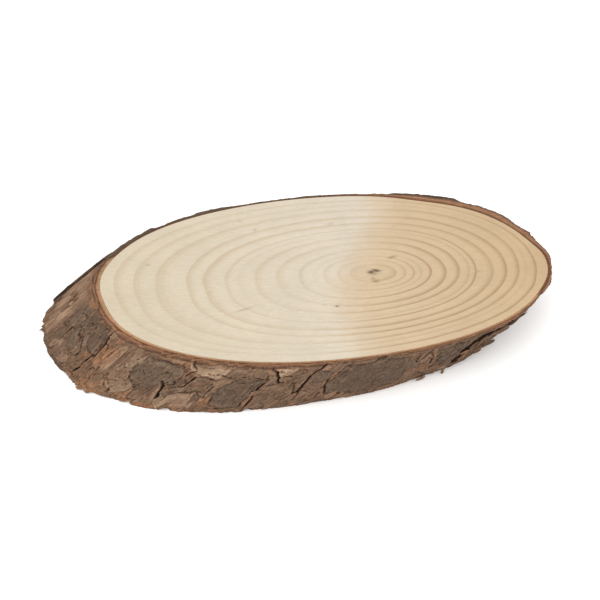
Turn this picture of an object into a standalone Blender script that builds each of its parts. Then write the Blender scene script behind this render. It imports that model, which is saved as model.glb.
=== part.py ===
"""Wood slice: a disc cut obliquely from a small log, with its bark left on.

A straight log leans in the XZ plane and two level cuts cross it.  The log is
nearly round, so each cut face is an ellipse stretched along X, and every
fissure of the bark runs down the slanting side along the log's own axis.
The origin is under the middle of the slice, on the surface it lies on.
Metres, +Z up.
"""
import math
import random

import bmesh
import bpy

# Driving dimensions
SLICE_THICKNESS = 0.025
LOG_RADIUS = 0.0764             # mean radius of the wood under the bark
LOG_LEAN = math.radians(50.0)   # the log's axis away from the vertical, towards +X
THINNEST_BARK = 0.0007
FLOOR_THICKNESS = 0.0010        # least bark left between two plates
BARK_GAP = 0.0003               # between the wood and the bark ring
PLATE_RELIEF = 0.0021           # crest of a plate over the floor between plates
PLATE_SHOULDER = 0.8            # share of a plate's half size that is flat
PLATE_SIDE = 0.25               # share over which its side falls
FISSURE_DEPTH = 0.0016
FISSURE_HALF_WIDTH = 0.0019
WORN_EDGE = 0.0060              # height over which the lower edge is worn back

# Resolution: columns round the log and rows up the side
COLUMNS = 288
ROWS = 11
SEED = 9

# Colours, linear
WOOD_COLOUR = (0.69, 0.57, 0.41, 1.0)
BARK_COLOUR = (0.16, 0.11, 0.08, 1.0)

# Out of round of the log: (waves per turn, cosine part, sine part)
LOG_WAVES = (
    (1, -0.0004, -0.0008),
    (2, -0.0005, 0.0003),
    (3, 0.0, -0.0003),
    (4, -0.0009, -0.0004),
)
# The log is a little flat at the near end: (degrees, depth, half width in degrees)
FLAT_SPOT = (-171.0, -0.0009, 9.0)
# Thickness of the bark to the crest of its plates, at degrees round the log.
# The outer bark is lost from 158 to -172, and a thick flake stands from 48 to 64.
BARK_CREST = (
    (-180.0, 0.0018),
    (-172.0, 0.0020),
    (-164.0, 0.0028),
    (-152.0, 0.0032),
    (-131.0, 0.0046),
    (-116.0, 0.0045),
    (-100.0, 0.0036),
    (-85.0, 0.0024),
    (-65.0, 0.0025),
    (-30.0, 0.0030),
    (-5.0, 0.0024),
    (10.0, 0.0027),
    (26.0, 0.0032),
    (30.0, 0.0042),
    (46.0, 0.0048),
    (48.5, 0.0062),
    (62.0, 0.0058),
    (74.0, 0.0021),
    (104.0, 0.0020),
    (112.0, 0.0031),
    (155.0, 0.0034),
    (158.0, 0.0019),
    (180.0, 0.0018),
)
# Stretches where the lower edge is worn back: (degrees, depth, half width in degrees)
WORN_STRETCHES = (
    (-75.0, 0.0012, 20.0),
    (-180.0, 0.0010, 20.0),
)

# Bark plates on the broad side:
# (degrees round the log, height, half width in degrees, half height, share of the relief, tilt)
PLATES = (
    (-168.0, 0.0220, 4.2, 0.0032, 0.7, 0.3),
    (-157.6, 0.0178, 4.4, 0.0056, 1.0, 0.3),
    (-164.2, 0.0122, 7.0, 0.0050, 1.0, 0.4),
    (-172.5, 0.0032, 6.0, 0.0030, 0.5, 0.0),
    (-149.4, 0.0085, 2.9, 0.0048, 0.7, -0.2),
    (-146.5, 0.0190, 5.5, 0.0056, 0.4, 0.2),
    (-140.0, 0.0110, 3.8, 0.0105, 0.5, 0.0),
    (-130.8, 0.0160, 6.6, 0.0074, 1.1, -0.2),
    (-132.0, 0.0040, 4.6, 0.0036, 0.6, 0.0),
    (-118.2, 0.0062, 5.0, 0.0058, 0.9, 0.2),
    (-116.3, 0.0214, 5.2, 0.0034, 0.8, 0.0),
    (-117.0, 0.0148, 3.6, 0.0024, 0.7, 0.1),
    (-108.6, 0.0108, 3.6, 0.0086, 1.0, -0.2),
    (-102.6, 0.0212, 2.5, 0.0032, 0.7, 0.0),
    (-98.8, 0.0164, 2.6, 0.0022, 0.5, 0.0),
    (-98.2, 0.0080, 3.8, 0.0060, 0.9, 0.1),
    (-91.4, 0.0166, 2.4, 0.0052, 0.9, 0.0),
    (-89.5, 0.0050, 3.0, 0.0050, 0.6, 0.0),
    (-79.4, 0.0136, 8.4, 0.0096, 1.0, 0.2),
    (-60.6, 0.0150, 5.2, 0.0090, 1.0, -0.3),
    (-66.0, 0.0060, 3.4, 0.0058, 0.6, 0.0),
)
# Deep fissures on the broad side: (degrees round the log, height) along each
FISSURES = (
    ((-154.6, 0.0245), (-153.7, 0.0180), (-151.6, 0.0120), (-152.7, 0.0030)),
    ((-165.3, 0.0165), (-161.0, 0.0145), (-157.6, 0.0085)),
    ((-126.5, 0.0225), (-123.7, 0.0180), (-123.4, 0.0145), (-121.0, 0.0100)),
    ((-127.7, 0.0118), (-126.2, 0.0080), (-124.5, 0.0025)),
    ((-106.5, 0.0245), (-103.4, 0.0190), (-101.0, 0.0140)),
    ((-94.4, 0.0225), (-94.8, 0.0160), (-92.4, 0.0085)),
    ((-70.5, 0.0245), (-67.0, 0.0185), (-65.0, 0.0120)),
    ((-52.5, 0.0230), (-49.0, 0.0150), (-47.5, 0.0060)),
)
# The rest of the way round the plates stand in columns, by a rule with a seeded draw
FIRST_COLUMN = -45.0            # degrees
LAST_COLUMN = 184.0
COLUMN_HALF_WIDTHS = (3.4, 6.6)
COLUMN_SPACING = 0.6            # degrees
COLUMN_SPLITS = (0.008, 0.017)
COLUMN_SHARES = (0.75, 1.1)
COLUMN_TILTS = (-0.3, 0.3)
UPPER_SHIFT = 1.5               # degrees from a lower plate's middle to the upper one's
UPPER_OVERLAP = 0.001           # the upper plate runs on past the cut
# Chips broken out of the two cut edges of the bark, also by a seeded draw
CHIPS = 64
CHIP_HALF_WIDTHS = (1.0, 2.6)   # degrees
CHIP_HEIGHTS = (0.0015, 0.0040)
CHIP_DEPTHS = (0.0006, 0.0016)


def ease(value):
    """Smooth step from 0 to 1 over 0..1."""
    value = min(1.0, max(0.0, value))
    return value * value * (3.0 - 2.0 * value)


def turn_between(a, b):
    """Shortest turn from b to a, in degrees."""
    return (a - b + 180.0) % 360.0 - 180.0


def bump(degrees, centre, height, half_width):
    """Rounded swelling round the log."""
    return height * math.exp(-0.5 * (turn_between(degrees, centre) / half_width) ** 2)


def wood_radius(degrees):
    """Radius of the log under the bark."""
    turn = math.radians(degrees)
    waves = sum(c * math.cos(n * turn) + s * math.sin(n * turn) for n, c, s in LOG_WAVES)
    return LOG_RADIUS + waves + bump(degrees, *FLAT_SPOT)


def bark_crest(degrees):
    """Thickness of the bark to the crest of its plates, read between its stations."""
    for (d0, t0), (d1, t1) in zip(BARK_CREST, BARK_CREST[1:]):
        if d0 <= degrees <= d1:
            return t0 + (t1 - t0) * (degrees - d0) / (d1 - d0)
    return BARK_CREST[0][1]


def draw_chips(dice):
    """Chips of the cut edges: (degrees, half width, height it reaches, depth, upper edge)."""
    return [(dice.uniform(-180.0, 180.0), dice.uniform(*CHIP_HALF_WIDTHS),
             dice.uniform(*CHIP_HEIGHTS), dice.uniform(*CHIP_DEPTHS), i % 3 == 0)
            for i in range(CHIPS)]


def draw_plates(dice):
    """Plates of the far side, in columns of two with a staggered split."""
    plates = []
    degrees = FIRST_COLUMN
    while degrees < LAST_COLUMN:
        half_width = dice.uniform(*COLUMN_HALF_WIDTHS)
        split = dice.uniform(*COLUMN_SPLITS)
        upper = SLICE_THICKNESS + UPPER_OVERLAP - split
        middle = degrees + half_width
        tilt = dice.uniform(*COLUMN_TILTS)
        shares = (dice.uniform(*COLUMN_SHARES), dice.uniform(*COLUMN_SHARES))
        plates.append((middle, split / 2, half_width, split / 2, shares[0], tilt))
        plates.append((middle + UPPER_SHIFT, split + upper / 2, half_width, upper / 2,
                       shares[1], -tilt))
        degrees += 2.0 * half_width + COLUMN_SPACING
    return plates


def plate_height(degrees, height, plates):
    """Share of the relief at this place: flat-topped plates with steep rounded sides."""
    best = 0.0
    for centre, middle, half_width, half_height, share, tilt in plates:
        across = turn_between(degrees, centre) / half_width
        up = (height - middle) / half_height
        if max(abs(across), abs(up)) > PLATE_SHOULDER + PLATE_SIDE:
            continue
        reach = (across ** 4 + up ** 4) ** 0.25
        top = share * (1.0 + tilt * across)
        best = max(best, top * (1.0 - ease((reach - PLATE_SHOULDER) / PLATE_SIDE)))
    return best


def chip_depth(degrees, height, chips):
    """Depth of the chips: a rounded bite that is deepest on the cut edge itself."""
    depth = 0.0
    for centre, half_width, reach, bite, upper in chips:
        across = abs(turn_between(degrees, centre)) / half_width
        rise = (SLICE_THICKNESS - height if upper else height) / reach
        if across < 1.0 and rise < 1.0:
            depth = max(depth, bite * ease(1.6 * (1.0 - across)) * (1.0 - rise))
    return depth


def fissure_depth(degrees, height):
    """Depth of the nearest deep fissure: a V along each line, measured on the log's surface."""
    per_degree = math.radians(LOG_RADIUS)
    along = 1.0 / math.cos(LOG_LEAN)
    nearest = FISSURE_HALF_WIDTH
    for line in FISSURES:
        for (d0, h0), (d1, h1) in zip(line, line[1:]):
            px, py = turn_between(degrees, d0) * per_degree, (height - h0) * along
            qx, qy = turn_between(d1, d0) * per_degree, (h1 - h0) * along
            share = min(1.0, max(0.0, (px * qx + py * qy) / (qx * qx + qy * qy)))
            nearest = min(nearest, math.hypot(px - share * qx, py - share * qy))
    return FISSURE_DEPTH * (1.0 - nearest / FISSURE_HALF_WIDTH)


def bark_radius(degrees, height, plates, chips):
    """Outer radius of the bark: a floor, its plates, fissures, chips and worn lower edge."""
    crest = bark_crest(degrees)
    worn = max(0.0, 1.0 - height / WORN_EDGE) ** 2
    crest -= worn * sum(bump(degrees, *stretch) for stretch in WORN_STRETCHES)
    floor = min(crest, max(FLOOR_THICKNESS, crest - PLATE_RELIEF))
    thickness = floor + (crest - floor) * plate_height(degrees, height, plates)
    thickness -= fissure_depth(degrees, height) + chip_depth(degrees, height, chips)
    return wood_radius(degrees) + max(thickness, THINNEST_BARK + BARK_GAP)


def log_point(degrees, height, radius):
    """A point of the leaning log at a height, before the slice is centred."""
    turn = math.radians(degrees)
    x = radius * math.cos(turn) / math.cos(LOG_LEAN) + height * math.tan(LOG_LEAN)
    return x, radius * math.sin(turn), height


def column_angles():
    """Angles of the columns round the log."""
    return [360.0 * i / COLUMNS - 180.0 for i in range(COLUMNS)]


def slice_middle(plates, chips):
    """Middle of the slice's own box, in plan."""
    points = [log_point(d, h, bark_radius(d, h, plates, chips))
              for d in column_angles() for h in (0.0, SLICE_THICKNESS)]
    xs = [p[0] for p in points]
    ys = [p[1] for p in points]
    return (min(xs) + max(xs)) / 2, (min(ys) + max(ys)) / 2


def make_material(name, colour, roughness):
    """Plain non-metal finish."""
    material = bpy.data.materials.new(name)
    material.use_nodes = True
    shader = material.node_tree.nodes["Principled BSDF"]
    shader.inputs["Base Color"].default_value = colour
    shader.inputs["Roughness"].default_value = roughness
    shader.inputs["Metallic"].default_value = 0.0
    return material


def finish_object(bm, name, material):
    """Close a sub-part: faces outwards, sharp arrises kept, one material."""
    bmesh.ops.recalc_face_normals(bm, faces=bm.faces)
    mesh = bpy.data.meshes.new(name)
    bm.to_mesh(mesh)
    bm.free()
    mesh.shade_smooth()
    mesh.set_sharp_from_angle(angle=math.radians(40.0))
    mesh.materials.append(material)
    item = bpy.data.objects.new(name, mesh)
    bpy.context.scene.collection.objects.link(item)
    return item


def build_wood(middle):
    """Disc of wood: the lower cut as one face, extruded along the leaning log."""
    bm = bmesh.new()
    rim = [bm.verts.new(log_point(d, 0.0, wood_radius(d))) for d in column_angles()]
    face = bm.faces.new(rim)
    grown = bmesh.ops.extrude_face_region(bm, geom=[face])
    upper = [item for item in grown["geom"] if isinstance(item, bmesh.types.BMVert)]
    lift = (SLICE_THICKNESS * math.tan(LOG_LEAN), 0.0, SLICE_THICKNESS)
    bmesh.ops.translate(bm, verts=upper, vec=lift)
    bmesh.ops.translate(bm, verts=bm.verts, vec=(-middle[0], -middle[1], 0.0))
    return finish_object(bm, "wood", make_material("sanded_wood", WOOD_COLOUR, 0.6))


def build_bark(middle, plates, chips):
    """Ring of bark: one loop carried up the outside, over, down the inside and shut."""
    bm = bmesh.new()
    angle = bm.verts.layers.float.new("angle")
    stations = [(SLICE_THICKNESS * row / ROWS, None) for row in range(ROWS + 1)]
    stations += [(SLICE_THICKNESS, BARK_GAP), (0.0, BARK_GAP), (0.0, None)]

    def place(vert, station):
        degrees, (height, clearance) = vert[angle], station
        if clearance is None:
            radius = bark_radius(degrees, height, plates, chips)
        else:
            radius = wood_radius(degrees) + clearance
        x, y, z = log_point(degrees, height, radius)
        vert.co = (x - middle[0], y - middle[1], z)

    loop = [bm.verts.new() for _ in range(COLUMNS)]
    for vert, degrees in zip(loop, column_angles()):
        vert[angle] = degrees
        place(vert, stations[0])
    edges = [bm.edges.new((a, b)) for a, b in zip(loop, loop[1:] + loop[:1])]
    for station in stations[1:]:
        grown = bmesh.ops.extrude_edge_only(bm, edges=edges)["geom"]
        edges = [item for item in grown if isinstance(item, bmesh.types.BMEdge)]
        for vert in (item for item in grown if isinstance(item, bmesh.types.BMVert)):
            place(vert, station)
    bmesh.ops.remove_doubles(bm, verts=bm.verts, dist=1e-6)
    return finish_object(bm, "bark", make_material("rough_bark", BARK_COLOUR, 0.9))


def build_slice():
    """Clear the scene and build both sub-parts round the slice's own middle."""
    for item in list(bpy.data.objects):
        bpy.data.objects.remove(item, do_unlink=True)
    dice = random.Random(SEED)
    plates = list(PLATES) + draw_plates(dice)
    chips = draw_chips(dice)
    middle = slice_middle(plates, chips)
    build_wood(middle)
    build_bark(middle, plates, chips)


build_slice()
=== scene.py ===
import math
import random

import bpy
import numpy as np
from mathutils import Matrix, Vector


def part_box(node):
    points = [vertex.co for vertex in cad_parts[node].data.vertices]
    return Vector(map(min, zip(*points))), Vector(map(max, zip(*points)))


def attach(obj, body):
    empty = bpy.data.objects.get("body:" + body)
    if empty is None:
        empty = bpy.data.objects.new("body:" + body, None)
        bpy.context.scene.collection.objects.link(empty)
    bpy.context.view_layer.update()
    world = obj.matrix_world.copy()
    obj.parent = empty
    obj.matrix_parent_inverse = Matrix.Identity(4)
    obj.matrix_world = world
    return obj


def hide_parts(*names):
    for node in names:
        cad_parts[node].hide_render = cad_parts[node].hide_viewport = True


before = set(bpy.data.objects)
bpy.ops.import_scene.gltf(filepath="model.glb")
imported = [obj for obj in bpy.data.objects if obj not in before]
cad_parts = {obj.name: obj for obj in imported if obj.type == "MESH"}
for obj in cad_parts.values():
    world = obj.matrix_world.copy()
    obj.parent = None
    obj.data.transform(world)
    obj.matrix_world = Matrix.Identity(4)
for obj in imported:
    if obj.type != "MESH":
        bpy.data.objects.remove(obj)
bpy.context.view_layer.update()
print("frame loaded")

mm = 0.001

# The log that the slice was cut from, as in the part's own source
logShape = {
    "radius": 0.0764,                  # mean radius of the wood under the bark
    "lean": math.radians(50.0),        # its axis away from the vertical, towards +X
    # Waves of its radius: how many per turn, cosine and sine part
    "waves": ((1, -0.0004, -0.0008), (2, -0.0005, 0.0003), (3, 0.0, -0.0003), (4, -0.0009, -0.0004)),
    "flatSpot": (-171.0, -0.0009, 9.0),  # degrees, depth, half width in degrees
    # The same of the last ring alone, which the rings inside it don't follow
    "swellings": ((-11.0, 0.0012, 7.0), (1.0, 0.0012, 6.0), (57.0, -0.0014, 7.0),
                  (152.0, -0.0005, 9.0)),
}
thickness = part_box("wood")[1].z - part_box("wood")[0].z
stretch = 1.0 / math.cos(logShape["lean"])     # how much longer the oblique cut is than the log is wide
mmPerDegree = math.radians(logShape["radius"]) / mm


# Small tools

def ease(value):
    # Smooth step: 0 below 0, 1 above 1, with a level start and end
    value = np.clip(value, 0.0, 1.0)
    return value * value * (3.0 - 2.0 * value)


def between(value, start, rise, end, fall):
    # 1 between start and end, smoothly down to 0 at both: over rise from the start, over fall to the end
    return ease((value - start) / rise) * ease((end - value) / fall)


def turnBetween(a, b):
    # Shortest turn from b to a, in degrees
    return (a - b + 180.0) % 360.0 - 180.0


def bump(degrees, centre, height, halfWidth):
    # Gaussian swelling round the log
    return height * np.exp(-0.5 * (turnBetween(degrees, centre) / halfWidth) ** 2)


def latticeNoise(across, up, cells, seed):
    # Value noise, -1 to 1: random heights on a lattice that closes after `cells`, blended by smooth steps
    tall = 64
    table = np.random.default_rng(seed).uniform(-1.0, 1.0, (tall, cells))
    column = np.floor(across).astype(int)
    row = np.floor(up).astype(int)
    right = ease(across - column)
    above = ease(up - row)
    low, high = (
        table[r % tall, column % cells] * (1 - right) + table[r % tall, (column + 1) % cells] * right
        for r in (row, row + 1))
    return low * (1 - above) + high * above


def barkNoise(degrees, height, key):
    # Sum of lattice noises on the log's skin, cells in mm, each octave half as big and half as strong
    across, along, seed, octaves = barkNoises[key]
    total = 0.0
    for octave in range(octaves):
        cells = max(4, int(round(360.0 * mmPerDegree / across * 2 ** octave)))
        u = degrees / 360.0 * cells
        v = height / mm * stretch / along * 2 ** octave + 31.7 * octave
        total = total + latticeNoise(u, v, cells, seed + octave) * 0.5 ** octave
    return total


# The log's own geometry

def evenRadius(degrees):
    # Mean radius plus a few waves per turn, and one flat spot
    turn = np.radians(degrees)
    radius = logShape["radius"] + bump(degrees, *logShape["flatSpot"])
    for count, c, s in logShape["waves"]:
        radius = radius + c * np.cos(count * turn) + s * np.sin(count * turn)
    return radius


def woodRadius(degrees):
    # The even radius with the swellings of the last ring
    return evenRadius(degrees) + sum(bump(degrees, *swelling) for swelling in logShape["swellings"])


allRound = np.linspace(-180.0, 180.0, 2881)
sliceOffset = (      # from the log's axis at the lower cut to the middle of the slice's box
    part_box("wood")[0].x - (woodRadius(allRound) * np.cos(np.radians(allRound))).min() * stretch,
    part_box("wood")[0].y - (woodRadius(allRound) * np.sin(np.radians(allRound))).min(),
)


def slicePoint(u, v, height):
    # From the log's round section (u, v) and a height to the slice: u stretches and shifts with height
    x = u * stretch + height * math.tan(logShape["lean"]) + sliceOffset[0]
    return np.stack(np.broadcast_arrays(x, v + sliceOffset[1], height), axis=-1)


def logPoint(degrees, height, radius):
    # The same from an angle and a radius
    turn = np.radians(degrees)
    return slicePoint(radius * np.cos(turn), radius * np.sin(turn), height)


# Meshes and materials

def gridMesh(name, points, attributes, ring=False):
    # Skin over a grid (row, column, 3) that closes across its columns. A ring closes across its rows too;
    # otherwise the first and the last row are one point each
    rows, columns = points.shape[:2]
    index = np.arange(rows * columns).reshape(rows, columns)
    if ring:
        index = np.vstack([index, index[:1]])
    following = np.roll(index, -1, axis=1)
    faces = [np.stack([index[:-1], index[1:], following[1:], following[:-1]], axis=-1)]
    if not ring:
        first, last = np.full(columns, index[0, 0]), np.full(columns, index[-1, 0])
        faces = [faces[0][1:-1], np.stack([first, index[1], following[1]], axis=-1),
                 np.stack([index[-2], last, following[-2]], axis=-1)]
    return meshObject(name, points, faces, attributes)


def addObject(name, data):
    # An object of the scene, at the origin
    item = bpy.data.objects.new(name, data)
    bpy.context.scene.collection.objects.link(item)
    return item


def meshObject(name, points, faceArrays, attributes):
    # One object, its place in its mesh, without the points that no face uses
    used = np.unique(np.concatenate([faces.ravel() for faces in faceArrays]))
    remap = np.full(points[..., 0].size, -1)
    remap[used] = np.arange(len(used))
    faces = sum((remap[faces].reshape(-1, faces.shape[-1]).tolist() for faces in faceArrays), [])
    mesh = bpy.data.meshes.new(name)
    mesh.from_pydata(points.reshape(-1, 3)[used].tolist(), [], faces)
    for key, values in attributes.items():
        layer = mesh.attributes.new(key, "FLOAT", "POINT")
        values = np.broadcast_to(values, points.shape[:-1]).reshape(-1)[used]
        layer.data.foreach_set("value", values.astype(np.float32))
    mesh.update()
    mesh.shade_smooth()
    return addObject(name, mesh)


def linearColour(hexText):
    # sRGB hex to linear RGBA
    values = [int(hexText[i:i + 2], 16) / 255.0 for i in (1, 3, 5)]
    return tuple(v / 12.92 if v <= 0.04045 else ((v + 0.055) / 1.055) ** 2.4 for v in values) + (1.0,)


def setInputs(tree, node, inputs):
    # An input takes a value, an sRGB hex or another node's socket
    for key, value in inputs.items():
        if isinstance(value, bpy.types.NodeSocket):
            tree.links.new(value, node.inputs[key])
        else:
            node.inputs[key].default_value = linearColour(value) if isinstance(value, str) else value


def addNode(tree, kind, inputs, **settings):
    # One node with its settings, then its inputs
    node = tree.nodes.new(kind)
    for key, value in settings.items():
        setattr(node, key, value)
    setInputs(tree, node, inputs)
    return node


def mathNode(tree, operation, *values, clamp=False):
    # Result of one sum on numbers or sockets
    return addNode(tree, "ShaderNodeMath", dict(enumerate(values)), operation=operation,
                   use_clamp=clamp).outputs[0]


def noiseNode(tree, place, scale, detail, roughness=0.5):
    # Noise from 0 to 1, with its cells per metre
    return addNode(tree, "ShaderNodeTexNoise", {"Vector": place, "Scale": scale, "Detail": detail,
                                                "Roughness": roughness}).outputs["Fac"]


def rangeNode(tree, value, low, high, atLow=0.0, atHigh=1.0, curve="LINEAR"):
    # The value taken from low..high to atLow..atHigh, and held there outside
    return addNode(tree, "ShaderNodeMapRange", {"Value": value, "From Min": low, "From Max": high,
                                                "To Min": atLow, "To Max": atHigh},
                   interpolation_type=curve).outputs[0]


def mixNode(tree, factor, a, b, kind="RGBA"):
    # Colour, or number with kind FLOAT, between a and b
    return addNode(tree, "ShaderNodeMix", {"Factor": factor, "A": a, "B": b},
                   data_type=kind).outputs[2 if kind == "RGBA" else 0]


def scaleNode(tree, colour, tone):
    # Colour times a tone
    return addNode(tree, "ShaderNodeVectorMath", {0: colour, "Scale": tone}, operation="SCALE").outputs[0]


def newMaterial(name, attributes):
    # A Principled shader at the tree's output, the object's coordinates and the attributes it reads
    material = bpy.data.materials.new(name)
    material.use_nodes = True
    tree = material.node_tree
    tree.nodes.clear()
    shader = addNode(tree, "ShaderNodeBsdfPrincipled", {})
    addNode(tree, "ShaderNodeOutputMaterial", {"Surface": shader.outputs["BSDF"]})
    place = addNode(tree, "ShaderNodeTexCoord", {}).outputs["Object"]
    read = {key: addNode(tree, "ShaderNodeAttribute", {}, attribute_name=key).outputs["Fac"]
            for key in attributes}
    return material, tree, shader, place, read


# Camera, light and floor

view = {
    "azimuth": -8.7,
    "elevation": 34.3,
    "distance": 1.2,
    "lens": 137.6,
    "sensor": 36.0,
    "aim": (0.0014, -0.0041, 0.0125),
}


def buildCamera():
    # Looks at its aim from an azimuth (0 looks along +Y) and an elevation
    azimuth, elevation = math.radians(view["azimuth"]), math.radians(view["elevation"])
    back = np.array([math.sin(azimuth) * math.cos(elevation),
                     -math.cos(azimuth) * math.cos(elevation), math.sin(elevation)])
    data = bpy.data.cameras.new("photoView")
    data.lens = view["lens"]
    data.sensor_width = view["sensor"]
    item = addObject("photoView", data)
    item.location = np.array(view["aim"]) + back * view["distance"]
    item.rotation_euler = (math.pi / 2 - elevation, 0.0, azimuth)
    bpy.context.scene.camera = item


lights = {
    "lamps": {
        "key": {"place": (-0.2, -1.2, 1.4), "size": 1.8, "watts": 9.9},
        "fill": {"place": (1.3, -0.5, 0.6), "size": 1.8, "watts": 7.7},
    },
    "room": 1.07,                      # strength of the white room
    "floorHalf": 4.0,                  # half the floor's width
    "floorGlow": 0.12,                 # how much the floor is lit from under
}


def buildLights():
    # Two soft square lamps that face the slice, in a pale room
    for name, lamp in lights["lamps"].items():
        data = bpy.data.lights.new(name, "AREA")
        data.size = lamp["size"]
        data.energy = lamp["watts"]
        item = addObject(name, data)
        item.location = x, y, z = lamp["place"]
        item.rotation_euler = (math.atan2(math.hypot(x, y), z), 0.0, math.atan2(y, x) + math.pi / 2)
    world = bpy.data.worlds.new("paleRoom")
    world.use_nodes = True
    background = world.node_tree.nodes["Background"]
    setInputs(world.node_tree, background, {"Color": "#ffffff", "Strength": lights["room"]})
    bpy.context.scene.world = world
    bpy.context.scene.view_settings.view_transform = "Standard"


def buildFloor():
    # White acrylic sheet, matt and lit a little from under, far wider than the view
    corners = np.array([(-1, -1, 0), (1, -1, 0), (1, 1, 0), (-1, 1, 0)]) * lights["floorHalf"]
    floor = meshObject("floor", corners, [np.arange(4)[None, :]], {})
    material, tree, shader, place, read = newMaterial("backlitWhiteAcrylic", ())
    setInputs(tree, shader, {"Base Color": "#fbfbfa", "Roughness": 0.9, "Emission Color": "#ffffff",
                             "Emission Strength": lights["floorGlow"]})
    floor.data.materials.append(material)


buildCamera()
buildLights()
buildFloor()
print("camera, lights and floor made")


# Wood: the pale disc with its rings

woodDisc = {
    "columns": 640,
    "topRows": 124,
    "crowding": 1.15,                  # power that draws the top's rows in towards the pith
    "underRows": 22,
    "pith": (0.0173, -0.0015),         # in the log's round section, from its axis
    # Each ring's dark line: shares of the way from pith to bark, at six angles from -180 degrees on
    "rings": (
        (0.090, 0.120, 0.140, 0.122, 0.099, 0.087),
        (0.137, 0.170, 0.196, 0.179, 0.150, 0.136),
        (0.190, 0.223, 0.249, 0.230, 0.202, 0.189),
        (0.226, 0.266, 0.288, 0.275, 0.242, 0.227),
        (0.280, 0.316, 0.339, 0.329, 0.300, 0.278),
        (0.368, 0.403, 0.428, 0.416, 0.391, 0.365),
        (0.445, 0.484, 0.492, 0.501, 0.471, 0.441),
        (0.505, 0.545, 0.563, 0.561, 0.538, 0.495),
        (0.549, 0.582, 0.599, 0.594, 0.574, 0.532),
        (0.631, 0.670, 0.684, 0.698, 0.658, 0.615),
        (0.690, 0.735, 0.754, 0.780, 0.745, 0.698),
        (0.810, 0.820, 0.823, 0.860, 0.848, 0.793),
        (0.884, 0.880, 0.870, 0.905, 0.900, 0.868),
        (0.950, 0.931, 0.936, 0.956, 0.948, 0.936),
        (1.040, 1.040, 1.040, 1.040, 1.040, 1.040),
    ),
    # How dark each line is, towards +X and towards -X
    "farStrength": (0.3, 0.55, 0.5, 0.65, 0.3, 0.95, 0.85, 0.8,
                    0.35, 1, 0.6, 0.95, 0.75, 0.1, 0.95, 0.3),
    "nearStrength": (0.3, 0.45, 0.35, 0.5, 0.15, 0.75, 0.55, 0.65,
                     0.2, 0.75, 1, 0.8, 0.6, 0.65, 0.6, 0.3),
    # How much the lines stand out, at twelve angles from -180 degrees on
    "contrast": (0.72, 0.55, 0.50, 1.15, 1.45, 1.35, 1.15, 1.10, 1.05, 0.60, 0.55, 0.90),
    "arris": (0.0003, 0.996),          # height of the broken edge, and where it starts as a share
    # Where the wood turns from cream to tan: y and x of the line, how far it sways in cells of x and y,
    # and how far the change reaches at first and in full
    "tanLine": ((-0.074, 0.0190), (-0.048, 0.0168), (-0.012, 0.0168), (0.018, 0.0315), (0.033, 0.0385),
                (0.052, 0.0480), (0.067, 0.0490)),
    "tanSway": (0.002, 0.012, 0.0035),
    "tanChange": (0.0065, 0.022),
    "underTan": 0.35,                  # how tan the side and the underside are
    "halfLength": 0.13,
    "markDepth": 0.00035,
    # Small marks on the top: x, y, half length, half width, degrees, darkness
    "marks": (
        (0.0394, -0.0019, 0.0021, 0.0015, 18.0, 0.95),
        (0.0421, -0.0009, 0.0024, 0.0013, -22.0, 0.95),
        (0.0411, -0.0001, 0.0016, 0.0009, 0.0, 0.70),
        (0.0403, -0.0034, 0.0026, 0.0018, 0.0, 0.42),
        (0.0410, -0.0020, 0.0050, 0.0040, 0.0, 0.10),
        (0.0403, -0.0109, 0.0018, 0.0016, 0.0, 0.42),
        (0.0394, -0.0083, 0.0014, 0.0016, 0.0, 0.32),
        (0.0528, 0.0103, 0.0024, 0.0010, 12.0, 0.48),
        (0.0165, -0.0305, 0.0010, 0.0007, -15.0, 0.80),
        (0.0106, -0.0286, 0.0009, 0.0009, 0.0, 0.14),
        (0.0257, 0.0473, 0.0024, 0.0012, 30.0, 0.18),
        (-0.0310, -0.0263, 0.0052, 0.0006, 19.0, 0.38),
        (-0.0753, 0.0221, 0.0008, 0.0009, 0.0, 0.45),
        (-0.0152, 0.0475, 0.0006, 0.0010, 0.0, 0.55),
        (-0.0225, 0.0577, 0.0008, 0.0010, 0.0, 0.20),
        (0.0950, -0.0100, 0.0010, 0.0008, 0.0, 0.25),
    ),
}


def pithReach(turn, radiusAt):
    # Distance from the pith to an outline along a direction, in the log's round section
    radius = radiusAt(allRound[:-1])
    bu = radius * np.cos(np.radians(allRound[:-1])) - woodDisc["pith"][0]
    bv = radius * np.sin(np.radians(allRound[:-1])) - woodDisc["pith"][1]
    return np.interp(turn, np.arctan2(bv, bu), np.hypot(bu, bv), period=2.0 * math.pi)


def ringAge(share, turn):
    # Rings crossed from the pith: each adds a clipped ramp, and its line runs smoothly through six shares
    waves = np.fft.fft(np.array(woodDisc["rings"]), axis=1) / 6.0
    weights = (1.0, 2.0, 2.0, 1.0)
    age = 0.0
    inner = 0.0
    for wave in waves:
        outer = sum(weights[k] * np.real(wave[k] * np.exp(1j * k * (turn + math.pi))) for k in range(4))
        age = age + np.clip((share - inner) / (outer - inner), 0.0, 1.0)
        inner = outer
    return age


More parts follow.
